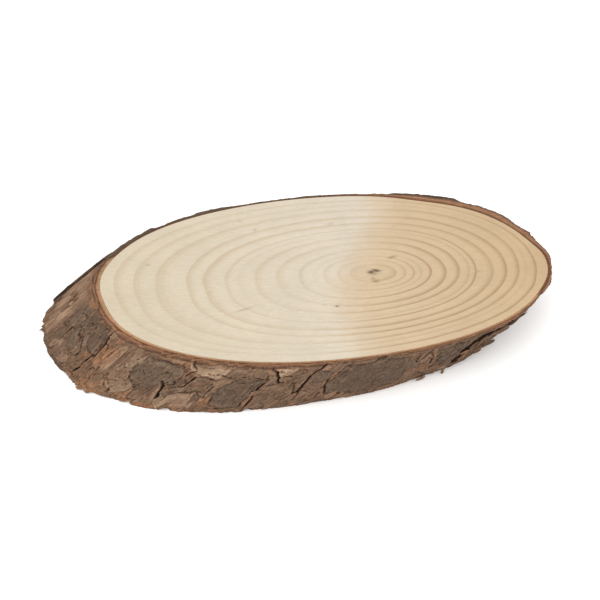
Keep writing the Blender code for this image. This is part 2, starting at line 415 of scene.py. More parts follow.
def buildWood():
    # Polar grid round the pith: out over the top, down the side, back under; height falls at the arris
    turn = np.linspace(-math.pi, math.pi, woodDisc["columns"], endpoint=False)[None, :]
    outward = np.linspace(0.0, 1.0, woodDisc["topRows"]) ** woodDisc["crowding"]
    inward = np.linspace(1.0, 0.0, woodDisc["underRows"])
    arris, inset = woodDisc["arris"]
    share = np.concatenate([outward[:-1], [inset, 1.0, 1.0, 1.0, inset], inward[1:]])[:, None]
    height = np.concatenate([np.full(len(outward) - 1, thickness),
                             [thickness, thickness - arris, thickness / 2, arris, 0.0],
                             np.zeros(len(inward) - 1)])[:, None]
    reach = pithReach(turn, woodRadius) * share
    points = slicePoint(woodDisc["pith"][0] + reach * np.cos(turn),
                        woodDisc["pith"][1] + reach * np.sin(turn), height)
    x, y = points[..., 0], points[..., 1]
    top = height > thickness * 0.75
    mark = 0.0
    for markX, markY, halfLength, halfWidth, degrees, dark in woodDisc["marks"]:
        c, s = math.cos(math.radians(degrees)), math.sin(math.radians(degrees))
        along = ((x - markX) * c + (y - markY) * s) / halfLength
        aside = ((y - markY) * c - (x - markX) * s) / halfWidth
        mark = np.maximum(mark, dark * np.exp(-(along ** 2 + aside ** 2) ** 1.2) * top)
    points[..., 2] -= mark * woodDisc["markDepth"]
    sway, cellX, cellY = woodDisc["tanSway"]
    past = x - np.interp(y, *np.array(woodDisc["tanLine"]).T)
    past = past - sway * latticeNoise(x / cellX, y / cellY, 64, 3)
    near, full = woodDisc["tanChange"]
    tan = 0.6 * ease(0.5 + 0.5 * past / near) + 0.4 * ease(past / full)
    # Each ring's line is as dark as its strength towards this side, times the contrast of the direction
    age = ringAge(reach / pithReach(turn, evenRadius), turn)
    ages = np.arange(len(woodDisc["farStrength"]))
    strength = np.interp(age, ages, woodDisc["nearStrength"])
    far = np.interp(age, ages, woodDisc["farStrength"])
    strength = strength + (far - strength) * (0.5 + 0.5 * np.cos(turn))
    contrast = np.interp(np.degrees(turn), np.arange(-180, 180, 30), woodDisc["contrast"], period=360)
    disc = gridMesh("woodDisc", points, {
        "age": age,
        "strength": strength * contrast,
        "tan": np.where(top, tan, woodDisc["underTan"]),
        "toFar": np.clip(0.5 + 0.5 * x / woodDisc["halfLength"], 0.0, 1.0),
        "mark": mark,
    })
    disc.data.set_sharp_from_angle(angle=math.radians(40.0))
    return disc


pineFinish = {
    # Noises: cells per metre and detail
    "wander": (70.0, 3.0),
    "fading": (26.0, 2.0),
    "clouds": (42.0, 2.0),
    "pores": (1100.0, 1.0),
    "streaks": (1300.0, 2.0),          # cut fibres, coarsened to about 0.8 mm so that they show
    "streakStretch": (0.16, 1.0, 0.16),
    # Colours: towards -X and towards +X, then of the ring lines in cream and in tan wood
    "cream": ("#c5b79c", "#cdc2b4"),
    "tan": ("#d3c1a7", "#ba9f7a"),
    "lines": ("#b09a79", "#a2845f"),
    "marks": "#472805",
    "shader": {"Roughness": 0.62, "IOR": 1.45},
    "bump": {"Strength": 0.12, "Distance": 0.0002},
}


def sandedPine():
    # Sanded pine end grain, cut obliquely: matt and pale, soft brown latewood lines, short fibre streaks
    material, tree, shader, place, read = newMaterial(
        "sandedPine", ("age", "strength", "tan", "toFar", "mark"))
    wander, fading, clouds, pores = (noiseNode(tree, place, *pineFinish[key])
                                     for key in ("wander", "fading", "clouds", "pores"))
    age = mathNode(tree, "MULTIPLY_ADD", wander, 0.20, read["age"])
    phase = mathNode(tree, "FRACT", mathNode(tree, "SUBTRACT", age, 0.17))
    # Latewood: darkens slowly to the ring's edge, then stops short; narrow where the wood is tan
    broad = rangeNode(tree, phase, 0.20, 0.88, curve="SMOOTHSTEP")
    narrow = rangeNode(tree, phase, 0.40, 0.96, curve="SMOOTHSTEP")
    rise = mathNode(tree, "POWER", mixNode(tree, read["tan"], broad, narrow, "FLOAT"), 1.6)
    soft = rangeNode(tree, phase, 0.80, 1.0, 1.0, 0.0, "SMOOTHSTEP")
    sharp = rangeNode(tree, phase, 0.93, 1.0, 1.0, 0.0, "SMOOTHSTEP")
    late = mathNode(tree, "MULTIPLY", rise, mixNode(tree, read["tan"], soft, sharp, "FLOAT"))
    late = mathNode(tree, "MULTIPLY", late, read["strength"])
    # Lines fade in and out along a ring, and faint ones run inside it
    late = mathNode(tree, "MULTIPLY", late, rangeNode(tree, fading, 0.3, 0.65, 0.62, 1.0))
    fine = mathNode(tree, "SINE", mathNode(tree, "MULTIPLY", age, 31.0))
    late = mathNode(tree, "MULTIPLY_ADD", fine, 0.035, late, clamp=True)
    # Cream towards -X, tan past the change and browner towards the far bark
    cream = mixNode(tree, read["toFar"], *pineFinish["cream"])
    early = mixNode(tree, read["tan"], cream, mixNode(tree, read["toFar"], *pineFinish["tan"]))
    colour = mixNode(tree, late, early, mixNode(tree, read["tan"], *pineFinish["lines"]))
    # Cut fibres show as streaks along the slant, with pale clouds and pores between
    drawn = addNode(tree, "ShaderNodeMapping", {"Vector": place, "Scale": pineFinish["streakStretch"]})
    streaks = noiseNode(tree, drawn.outputs[0], *pineFinish["streaks"])
    tone = rangeNode(tree, streaks, 0.3, 0.7, 0.935, 1.04)
    tone = mathNode(tree, "MULTIPLY", tone, rangeNode(tree, clouds, 0.3, 0.7, 0.955, 1.025))
    tone = mathNode(tree, "MULTIPLY", tone, rangeNode(tree, pores, 0.3, 0.7, 0.975, 1.02))
    colour = mixNode(tree, read["mark"], scaleNode(tree, colour, tone), pineFinish["marks"])
    relief = addNode(tree, "ShaderNodeBump", {"Height": streaks, **pineFinish["bump"]})
    setInputs(tree, shader, {"Base Color": colour, "Normal": relief.outputs[0], **pineFinish["shader"]})
    return material


wood = buildWood()
wood.data.materials.append(sandedPine())
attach(wood, "root")
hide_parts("wood")
print("wood made:", len(wood.data.polygons), "faces")


# Bark: plates, fissures and torn edges on a ring round the wood

barkRing = {
    "columns": 1370,
    "sideRows": 56,
    "seed": 9,
    # The broad side has closer columns: its middle, half width and rim in degrees, extra share
    "denser": (-112, 72, 16, 0.85),
    # Thickness to the crest of the plates: degrees round the log, mm
    "crest": (
        (-180, 1.9), (-172, 2.1), (-164, 2.9), (-152, 3.3), (-131, 4.6), (-116, 4.9), (-106, 4.6),
        (-100, 3.6), (-85, 2.5), (-65, 2.6), (-57, 2.5), (-51.8, 2.4), (-49.5, 3.4), (-46, 3.7),
        (-40, 3.1), (-33, 2.6), (-20, 2.5), (-10, 1.6), (0, 2.5), (10, 2.7), (17, 4.1), (24, 3.3),
        (30, 4.4), (36, 5.4), (41, 5.4), (47, 5.4), (50, 7.6), (60, 7), (66, 5), (67, 4), (72, 3.2),
        (90, 2.4), (106, 2.1), (114, 3.6), (122, 2.9), (128, 2.6), (129, 2.1), (132, 2.1), (133, 3.5),
        (138, 2.7), (150, 2.4), (153, 3.2), (155.2, 4), (156.4, 2.5), (164, 3), (172, 2.4), (180, 1.9),
    ),
    "floor": 1,                        # mm that the outer bark keeps at least under its plates
    "relief": 2.1,                     # mm from there to the crest
    "fill": (0.66, 0.16),              # height of the ground between plates as a share, and its swing
    "least": 0.55,                     # mm that fissures and chips leave
    # Worn edges: mm of height they take; then degrees, mm, half width in degrees
    "wornEdge": 6,
    "wornBelow": ((-75, 1.2, 20), (-180, 1, 20), (-157, 3.3, 6), (-131, 1.4, 3),
                  (-103, -0.7, 4), (-54, 1.9, 5)),
    "wornAbove": ((-31, 1.6, 4.5),),
    "wander": (0.5, 0.8),              # mm that outlines stray across and along the log
    "flaking": (4, 0.34),              # flakes per cell, mm that each stands up
    # Fine relief in mm: on bare ground, how much more on plates, how much more where the bark is lost
    "grain": (0.13, -0.05, 0.15),
    "crumbs": (0.17, -0.05, -0.06),
    "swell": (0.16, 0, 0),
    "terraces": ((0.2, 0.9), (0.14, 2.2)),  # of a plate: share of its height, mm in from its edge
    "hairCracks": 0.5,                 # mm deep round parts of the plates, then along veins
    "veins": 0.6,
    "pocks": 0.4,                      # mm deep
    # clefts: a fissure deeper than this many mm gets painted shade right across
    "shadedCleftDepth": 5,                       # a fissure deeper than this many mm is dark right across
    "pocked": (-139, 5),               # middle and half width of the pocked plate, in degrees
    "pockedHeights": (5, 2, 22, 2),
    # Stretches, in degrees: where each starts and over how much, where it ends and over how much
    "flush": (-58, 16, 157, 3),        # right and far side, sawn flush up to the outer edge
    "bare": (157, 1.5, 183, 5),        # the outer bark is lost
    "rimGrey": (76, 12, 160, 5),
    "rimPale": (-36, 14, 84, 12),
    "farDark": (46, 5, 90, 8),         # plates that stand proud of the far rim are dark outside
    "lined": (-34, 10, 200, 1),        # a dark line runs at the wood itself
    # Freshly torn: the same of the height in mm, then degrees, share, half width in degrees
    "torn": (
        (-9, 1, 2.4, 1.5, -133, 0.85, 11),
        (-9, 1, 10, 6, -144, 0.6, 4),
        (9, 4, 22, 4, -148, 0.7, 2.2),
        (21.8, 1.5, 40, 1, -178, 0.8, 14),
    ),
    # Tones: degrees, share, half width in degrees
    # darker: painted shade on the near right side of the bark, where it turns down and away from the
    # lamps
    "darker": ((-88, 0.15, 16), (-45, 0.8, 9)),
    "brink": (156, 1.1, 1.1),          # the dark broken end of the thick bark, by the bare stretch
    "rimLight": (-153, 0.9, 13),
    # Sawn rim, in mm: a mean and a swing
    "topDrop": (0.3, 0.55),            # outer bark under the wood's face
    "lowRise": (0, 0.7),               # its lower edge over the ground
    "band": (1.25, 0.2),               # inner bark level with the wood
    "thinBand": (25, 0.8, 28),         # thinner here: degrees, mm, half width in degrees
    "mostBand": 0.72,                  # of the bark's thickness, that the inner bark may take
    "strip": (1, 0.4),                 # inner bark that shows under the upper edge
    "thinStrip": (60, 0.6, 70),        # the same, as a share
    "shoulder": (0.25, 0.3),           # how far the strip stands out past the band, above and lower down
    "tuck": 0.0002,                    # how far the ring reaches into the wood, so that no gap shows
    "rimShares": (0.12, 0.4, 0.7, 0.9),  # rows over the outer bark's rim, and their drops
    "rimDrops": (0.5, 0.6, 0.8, 0.9),
    "underShares": (0.65, 0.3, 0),
    # Layers on the far rim, and how much its dark plates add
    "farLayers": (0.47, 0.57, 0.72, 0.92),
    "farDarker": (0, 0, 0.16, 0.05),
    # hollows: painted shade in hollows and painted highlight on ridges, over these cells and depths
    "cavityShadingScales": ((2, 0.25), (6, 0.7)),  # cells that a hollow is seen over, and mm that count in full
}

# Noises on the bark: mm per cell across and along the log, seed, octaves
barkNoises = {
    "across": (4, 5, 11, 4),
    "along": (4, 5, 21, 4),
    "ripple": (3, 7, 31, 3),
    "ground": (6, 12, 35, 3),
    "grey": (8, 13, 41, 3),
    "light": (4, 10, 51, 3),
    "flaking": (8, 14, 55, 3),
    "grain": (1, 11, 61, 2),
    "crumbs": (1.3, 1.8, 71, 3),
    "swell": (12, 16, 81, 2),
    "broken": (5, 6, 83, 2),
    "veins": (8, 9, 85, 3),
    "veined": (9, 12, 87, 2),
    "pocks": (1.1, 1.2, 89, 2),
    "least": (1.5, 3, 91, 2),
    "torn": (6, 9, 101, 3),
    "topEdge": (3, 5, 111, 4),
    "lowEdge": (7, 5, 121, 3),
    "band": (9, 5, 131, 2),
    "strip": (5, 5, 141, 3),
    "rimLight": (4, 5, 151, 3),
}

# Plates of the broad side: outline (degrees, height in mm), share of the relief, grey, light
barkPlates = (
    (((-169.7, 24), (-166.5, 24.9), (-163.2, 23.3), (-163.9, 19.5), (-166.3, 19),
      (-169.2, 21.5)), 0.75, 0.9, 0),
    (((-161.5, 22), (-160, 22.8), (-155.1, 23.3), (-153.7, 18), (-151.5, 12), (-156.1, 13), (-159, 15.5),
      (-161, 18.5)), 1, 0.9, -0.1),
    (((-168.8, 15.5), (-164.9, 16.3), (-161, 14.3), (-159, 12.5), (-157.6, 8.3), (-161, 8.5),
      (-164.9, 9.5), (-167.8, 11.5)), 1, 0.8, 0),
    (((-177, 18), (-170.7, 19.5), (-167.8, 17), (-169.2, 12), (-170.7, 9.5), (-174.6, 10),
      (-177, 14)), 0.7, 0.5, 0.1),
    (((-172.2, 8.3), (-165.8, 8.3), (-163.9, 6.5), (-164.4, 5), (-170.7, 5), (-172.4, 6)), 0.8, 0.3, 0.3),
    (((-163, 6.5), (-158.5, 6.8), (-157.5, 4), (-159.5, 2.2), (-162.8, 2.5)), 0.7, 0.2, 0.3),
    (((-178.5, 9.5), (-174.1, 9), (-173.6, 6.5), (-178.5, 6.5)), 0.6, 0.5, -0.2),
    (((-153.2, 18.5), (-150.3, 18.8), (-148.2, 15.5), (-149.3, 12), (-151.3, 13),
      (-152.7, 16)), 0.7, 0, -0.25),
    (((-151.7, 10.8), (-148.3, 11), (-146.4, 6), (-146.4, 3.5), (-149.8, 2.5), (-152, 3),
      (-152.2, 7)), 0.85, 0.3, -0.25),
    (((-146.9, 21.5), (-144.5, 22), (-143.5, 17), (-144, 10.5), (-146.4, 11),
      (-147.1, 14.5)), 0.5, 0, 0.45),
    (((-143, 21), (-137.2, 21.5), (-137.2, 14.5), (-132.3, 8.5), (-132.8, 5), (-135.2, 3.5), (-139.1, 5),
      (-142, 10.5)), 0.6, 0.35, 0.35),
    (((-136.7, 22), (-127.9, 22.3), (-125.5, 20.5), (-123.6, 17), (-124.5, 14.5), (-124, 12.5),
      (-127, 10.5), (-128, 7.5), (-131.8, 8), (-136.9, 13), (-137.4, 18)), 1.05, 0.8, -0.05),
    (((-131.8, 7.8), (-128.2, 7), (-127, 10), (-125, 3), (-127, 1), (-130.8, 3.5)), 0.85, 0.3, 0),
    (((-125, 10), (-122.1, 12), (-120.6, 10.5), (-123.1, 8.5), (-124.5, 7)), 0.8, 0.6, 0),
    (((-123.1, 7), (-120.6, 9.3), (-117.2, 10), (-114.8, 7), (-114.3, 2), (-117.2, -0.3), (-122.1, 0.5),
      (-123.8, 4.5)), 0.95, 0.3, 0.35),
    (((-126, 22.5), (-115.3, 23.3), (-115.3, 18), (-120.2, 17.8), (-122.6, 19.5)), 0.85, 0.3, 0.55),
    (((-122.1, 17.3), (-115.3, 17.5), (-115.3, 10.5), (-119.2, 10), (-122.6, 15.5)), 0.8, 0.45, 0.05),
    (((-114.8, 23.5), (-107.5, 24), (-104.6, 18), (-114.8, 17.8)), 0.85, 0.5, 0.05),
    (((-112.4, 17.3), (-104.6, 17.5), (-103.6, 3), (-108, 2), (-111.4, 5),
      (-112.9, 12)), 1.05, 0.95, -0.15),
    (((-105.1, 23.5), (-101.2, 24.5), (-100.2, 22.5), (-101.2, 19), (-102.6, 18.3)), 0.8, 0.2, 0.7),
    (((-102.2, 17.5), (-97.8, 17.5), (-97, 15), (-100.2, 14.5)), 0.6, 0.4, 0.1),
    (((-103.6, 14), (-96.3, 14.5), (-93.4, 7), (-93.4, 1.5), (-101.7, 0.7),
      (-102.9, 7)), 0.9, 0.45, 0.05),
    (((-100.2, 24), (-95.1, 23), (-95.1, 18), (-97, 15.5), (-97.5, 18), (-100.2, 19)), 0.7, 0.3, 0),
    (((-93.6, 20.5), (-90, 19), (-89, 14), (-91.5, 13.3), (-93.4, 13.5), (-94.4, 17)), 0.95, 0.85, 0),
    (((-92.9, 12.5), (-89.5, 13), (-87.1, 8), (-86.1, 3.3), (-91.5, 2.5), (-92.4, 8)), 0.7, 0.4, 0.05),
    (((-88.5, 21.5), (-80.3, 23.5), (-70.6, 20.5), (-67.2, 16), (-66.7, 4.5), (-73.5, 3), (-84.7, 5.5),
      (-88.1, 10.5)), 1, 0.9, -0.2),
    (((-65.7, 21.5), (-60.8, 22), (-56, 21), (-52.1, 16), (-51.1, 10.5), (-54, 6),
      (-58.9, 10.5)), 1, 0.9, -0.3),
    (((-65.7, 10.5), (-59.9, 6), (-57, 3.5), (-64.7, 3)), 0.6, 0.4, 0.1),
    (((-47, 9), (-46.6, 24), (-42, 24.4), (-41.6, 12), (-43, 7)), 1.1, 0.5, -0.3),
)
# Fissures: half width and depth in mm, then degrees and height in mm along each
barkFissures = (
    (0.95, 2.8, ((-154, 24.2), (-153.8, 21.8), (-153.2, 19.2), (-152, 16.8), (-151, 13.8), (-151, 12.8))),
    (0.8, 2.4, ((-152, 12.8), (-152, 11.8), (-152, 9.2), (-151.8, 6.5), (-152.2, 4))),
    (0.6, 1.9, ((-166.2, 15.2), (-164, 14.5), (-160.5, 13.8), (-158.8, 12.5), (-157.5, 10.5),
                (-157.2, 8.5))),
    (0.3, 0.8, ((-163.5, 22.8), (-163, 21.5), (-164.2, 19.2), (-167, 17), (-171.5, 14.5))),
    (0.3, 0.9, ((-145.8, 10.8), (-145.5, 7.8), (-145.2, 4.8))),
    (0.35, 1, ((-175, 6), (-175.5, 3))),
    (0.3, 0.8, ((173.8, 8.8), (176, 7), (176.2, 4))),
    (0.3, 0.9, ((-131.5, 10.5), (-131.8, 7.8))),
    (0.5, 1.8, ((-126, 24), (-123.5, 21.5))),
    (0.4, 1.4, ((-122.5, 20.2), (-123.5, 19.2), (-123.2, 17))),
    (0.45, 1.6, ((-121, 16.8), (-121.2, 14.5), (-121, 12.5), (-122, 12))),
    (0.7, 2.6, ((-127.2, 13.5), (-126.2, 11.2), (-125.2, 8.2), (-124.2, 5.2))),
    (0.35, 1.2, ((-126.2, 13), (-124.2, 14))),
    (0.3, 0.9, ((-119.5, 19.8), (-117.2, 19.5), (-115.2, 19.8), (-113.5, 19))),
    (0.3, 0.8, ((-109.8, 19), (-106, 18.8))),
    (0.5, 1.9, ((-106.8, 24), (-105, 22.2), (-102.5, 18.2), (-100.8, 14.8))),
    (0.3, 0.9, ((-100.8, 15), (-98.8, 15.5), (-97.8, 17))),
    (0.5, 1.5, ((-104.2, 14.8), (-103.5, 10.2), (-102.5, 6.2), (-102, 3))),
    (0.35, 0.7, ((-114.8, 17.5), (-114.2, 12.2), (-114, 7))),
    (0.65, 2.4, ((-94.5, 23.5), (-94.5, 20.2), (-94.8, 17.8), (-94.2, 14.5), (-93.2, 10.8),
                (-92.6, 7.5))),
    (0.4, 1.2, ((-88.5, 16.8), (-89, 14.8), (-87.8, 11), (-84.8, 5.5))),
    (0.3, 0.8, ((-102, 18.8), (-99.8, 18.8), (-98.5, 19.5))),
    (0.8, 2, ((-67.2, 22.2), (-67, 19.8), (-67, 17.2))),
    (0.35, 1.4, ((-69, 22.5), (-69.5, 20.8), (-68.5, 18))),
    (0.35, 1.2, ((-66, 20), (-61, 11.8))),
    (1.5, 5.6, ((-49.2, 4.6), (-50.3, 8.6), (-51.1, 12.2), (-52.4, 14.8))),
    (2.8, 6, ((-51.6, 14.2), (-51, 16.5), (-50.2, 18.8), (-49, 20.6), (-47.4, 22.2), (-45, 23.4))),
    (1, 4, ((-43, 8), (-43.6, 13), (-43, 17.5), (-41.5, 21))),
    (0.55, 1.6, ((-55.8, 12.8), (-54.2, 14.5), (-51.5, 15.5))),
)
# The far side, by the part's own rule and draw
farPlates = {
    "first": -45,
    "last": 184,
    "halfWidths": (3.4, 6.6),
    "spacing": 0.6,
    "splits": (0.008, 0.017),
    "shares": (0.75, 1.1),
    "tilts": (-0.3, 0.3),
    "shift": 1.5,
    "overlap": 0.001,
}
edgeChips = {
    "count": 64,
    "halfWidths": (1, 2.6),
    "heights": (0.0015, 0.004),
    "depths": (0.0006, 0.0016),
}


def drawPlates(dice):
    # Columns of two plates with a staggered split, as rough outlines of eight points
    plates = []
    degrees = farPlates["first"]
    while degrees < farPlates["last"]:
        halfWidth = dice.uniform(*farPlates["halfWidths"])
        split = dice.uniform(*farPlates["splits"])
        upper = thickness + farPlates["overlap"] - split
        dice.uniform(*farPlates["tilts"])      # keeps the draw in step with the part's
        shares = (dice.uniform(*farPlates["shares"]), dice.uniform(*farPlates["shares"]))
        middle = degrees + halfWidth
        plates.append((middle, split / 2, halfWidth, split / 2, shares[0]))
        plates.append((middle + farPlates["shift"], split + upper / 2, halfWidth, upper / 2, shares[1]))
        degrees += 2.0 * halfWidth + farPlates["spacing"]
    return plates


def drawChips(dice):
    # Chips of the cut edges: degrees, half width, height it reaches, depth, upper edge
    return [(dice.uniform(-180.0, 180.0), dice.uniform(*edgeChips["halfWidths"]),
             dice.uniform(*edgeChips["heights"]), dice.uniform(*edgeChips["depths"]), i % 3 == 0)
            for i in range(edgeChips["count"])]


def roughOutline(plate, dice):
    # A plate's box as an outline of eight points, each moved a little
    middle, height, halfWidth, halfHeight, share = plate
    corners = [(-0.95, -0.95), (0.0, -1.0), (0.95, -0.95), (1.0, 0.0),
               (0.95, 0.95), (0.0, 1.0), (-0.95, 0.95), (-1.0, 0.0)]
    outline = tuple((middle + (c + dice.uniform(-0.2, 0.12) * c) * halfWidth,
                     (height + (r + dice.uniform(-0.15, 0.1) * r) * halfHeight) / mm) for c, r in corners)
    return outline, share, dice.uniform(0.3, 1.0), dice.uniform(-0.3, 0.3)


dice = random.Random(barkRing["seed"])
drawn = drawPlates(dice)
chips = drawChips(dice)
allPlates = list(barkPlates) + [roughOutline(plate, dice) for plate in drawn]


def lineDistance(x, y, line):
    # Distance to a line of straight runs
    nearest = np.inf
    for (x0, y0), (x1, y1) in zip(line, line[1:]):
        ex, ey = x1 - x0, y1 - y0
        share = np.clip(((x - x0) * ex + (y - y0) * ey) / (ex * ex + ey * ey), 0.0, 1.0)
        nearest = np.minimum(nearest, np.hypot(x - x0 - share * ex, y - y0 - share * ey))
    return nearest


def outlineDistance(x, y, outline):
    # The same to a closed outline, positive inside by the even-odd rule
    closed = outline + outline[:1]
    inside = np.zeros(x.shape, bool)
    for (x0, y0), (x1, y1) in zip(closed, closed[1:]):
        if y0 != y1:
            inside ^= ((y0 > y) != (y1 > y)) & (x < x0 + (y - y0) * (x1 - x0) / (y1 - y0))
    return np.where(inside, 1.0, -1.0) * lineDistance(x, y, closed)


def nearSkin(line, degrees, height, wander):
    # Points near a line's stretch, their place on the skin laid flat in mm, and the line laid flat
    centre = line[0][0]
    flat = tuple((turnBetween(d, centre) * mmPerDegree, h * stretch) for d, h in line)
    x = turnBetween(degrees, centre) * mmPerDegree
    near = np.nonzero(np.abs(x) < max(abs(a) for a, b in flat) + 4.0)[0]
    return near, x[near] + wander[0][near], height[near] / mm * stretch + wander[1][near], flat


def lifted(value):
    # Saw tooth that rises gently over most of its length and then drops
    part = value - np.floor(value)
    return np.minimum(part / 0.86, (1.0 - part) / 0.14)


def crestAt(degrees):
    # Thickness to the crest of the plates, in mm
    return np.interp(turnBetween(degrees, 0.0), *np.array(barkRing["crest"]).T)


def barkSkin(degrees, height):
    # Thickness = floor + plates or ground + flakes + grain + crumbs + swell - cracks - pocks - chips
    degrees, height = np.broadcast_arrays(degrees, height)
    shape = degrees.shape
    degrees, height = degrees.ravel(), height.ravel()

    def noise(key, aside=0.0, along=0.0):
        return barkNoise(degrees + aside, height + along, key)

    flush = between(degrees, *barkRing["flush"])
    bare = between(degrees % 360.0, *barkRing["bare"])
    crest = crestAt(degrees)
    for key, away in (("wornBelow", height), ("wornAbove", thickness - height)):
        worn = np.clip(1.0 - away / mm / barkRing["wornEdge"], 0.0, 1.0) ** 2
        crest = crest - worn * sum(bump(degrees, *place) for place in barkRing[key])
    floor = np.maximum(barkRing["floor"], crest - barkRing["relief"] * (1.0 - 0.5 * flush))
    floor = np.minimum(crest, floor)
    # Ragged outlines: the skin's coordinates wander by up to a millimetre
    wander = [noise(key) * most for key, most in zip(("across", "along"), barkRing["wander"])]
    ripple = noise("ripple")
    ground, swing = barkRing["fill"]
    relief = ground + swing * noise("ground")
    grey = 0.30 + 0.35 * noise("grey")
    light = 0.30 * noise("light")
    onPlate = np.zeros(degrees.shape)
    rim = np.full(degrees.shape, 9.0)
    for outline, share, plateGrey, plateLight in allPlates:
        # A plate rises at its edge, then by two terraces
        near, x, y, flat = nearSkin(outline, degrees, height, wander)
        distance = outlineDistance(x, y, flat)
        terrace = distance + 0.9 * ripple[near]
        rise = 0.66 * ease(distance / 0.40 + 0.5)
        for step, inward in barkRing["terraces"]:
            rise = rise + step * ease((terrace - inward) / 0.3)
        cover = ease(distance / 0.5 + 0.5)
        relief[near] = np.maximum(relief[near], share * rise)
        grey[near] += (plateGrey + 0.2 * ripple[near] - grey[near]) * cover
        light[near] += (plateLight + 0.15 * ripple[near] - light[near]) * cover
        onPlate[near] = np.maximum(onPlate[near], cover)
        rim[near] = np.minimum(rim[near], np.abs(distance))
    # Flakes that lift on one edge, fine ridges along the log, crumbs and a slow swell
    count, lift = barkRing["flaking"]
    sheets = (lifted(count * noise("flaking", wander[0] * 0.6, wander[1] * 0.5 * mm)) - 0.5) * lift
    skin = floor + (crest - floor) * np.minimum(relief, 1.1) * (1.0 - 0.3 * bare)
    skin = skin + sheets * (1.0 - 0.45 * onPlate) * (1.0 - 0.6 * bare)
    for key in ("grain", "crumbs", "swell"):
        plain, more, moreBare = barkRing[key]
        skin = skin + noise(key) * (plain + more * onPlate + moreBare * bare)
    # Fissures: a V with a rough course, wider or narrower with the ripple
    depth = np.zeros(degrees.shape)
    cleftShade = np.zeros(degrees.shape)
    for halfWidth, deep, line in barkFissures:
        near, x, y, flat = nearSkin(line, degrees, height, wander)
        into = 1.0 - lineDistance(x, y, flat) / (halfWidth * (1.0 + 0.35 * ripple[near]))
        depth[near] = np.maximum(depth[near], ease(into) * deep)
        if deep > barkRing["shadedCleftDepth"]:
            cleftShade[near] = np.maximum(cleftShade[near], ease(5.0 * into))
    # Hair cracks: round parts of the plates, and where a noise passes through zero
    hair = barkRing["hairCracks"] * ease(1.0 - rim / 0.42) * ease(0.5 + 1.6 * noise("broken"))
    vein = ease(1.0 - np.abs(noise("veins", wander[0])) / 0.06) * ease(2.5 * noise("veined") - 0.4)
    depth = np.maximum(depth, np.maximum(hair, barkRing["veins"] * vein) * (1.0 - 0.8 * bare))
    middle, halfWidth = barkRing["pocked"]
    pocked = ease(1.0 - np.abs(turnBetween(degrees, middle)) / halfWidth)
    pocks = pocked * between(height / mm, *barkRing["pockedHeights"]) * ease(2.2 * noise("pocks") - 0.5)
    skin = skin - depth - barkRing["pocks"] * pocks
    for centre, halfWidth, reach, bite, upper in chips:
        aside = np.abs(turnBetween(degrees, centre)) / halfWidth
        away = (thickness - height if upper else height) / reach
        bitten = bite / mm * ease(1.6 * (1.0 - aside)) * np.clip(1.0 - away, 0.0, 1.0)
        skin = skin - bitten * (1.0 - 0.7 * flush)
    skin = np.maximum(skin, barkRing["least"] + 0.12 * (1.0 + noise("least")))
    # Freshly torn: patches off the plates, the edges towards -X, and a little where the bark is bare
    low = height / mm + 1.2 * ripple
    torn = np.maximum(0.20 * bare, (1.0 - onPlate) * ease(1.3 * noise("torn") - 0.1) * 0.45)
    for *heights, centre, share, halfWidth in barkRing["torn"]:
        torn = np.maximum(torn, between(low, *heights) * bump(degrees, centre, share, halfWidth))
    # Painted shade: the tone is lowered on the near right side of the bark, from the darker table
    light = light - sum(bump(degrees, *place) for place in barkRing["darker"])
    light = light + bare * (0.45 * ease((low - 5.0) / 6.0) - 0.5 * ease((low - 21.0) / 2.0))
    brink = bump(degrees, *barkRing["brink"]) * (0.9 + 0.4 * ripple)
    side = {
        "skin": skin * mm,
        "grey": np.clip(grey, 0.0, 1.0),
        "light": np.clip(light, -1.0, 1.0),
        # Painted shade: darker with the depth of fissures and cracks, right across deep clefts and in
        # pocks; the brink adds the dark broken end
        "depth": np.clip(depth / 1.1 + cleftShade + 0.6 * pocks + brink, 0.0, 1.0),
        "raw": np.clip(torn, 0.0, 1.0),
    }
    return {key: values.reshape(shape) for key, values in side.items()}


def blurred(values, reach):
    # Mean over a window of the grid, round the columns and clamped at the rows
    total = sum(np.roll(values, shift, axis=1) for shift in range(-reach, reach + 1)) / (2 * reach + 1)
    padded = np.pad(total, ((reach, reach), (0, 0)), mode="edge")
    return sum(padded[i:i + len(values)] for i in range(2 * reach + 1)) / (2 * reach + 1)


def barkColumns():
    # Degrees of the columns: evenly spread in the running sum of their density
    middle, halfWidth, rim, extra = barkRing["denser"]
    density = 1.0 + extra * (1.0 - ease((np.abs(turnBetween(allRound, middle)) - halfWidth) / rim))
    running = np.concatenate([[0.0], np.cumsum(0.5 * (density[1:] + density[:-1]))])
    steps = np.linspace(0.0, running[-1], barkRing["columns"], endpoint=False)
    return np.interp(steps, running, allRound)[None, :]


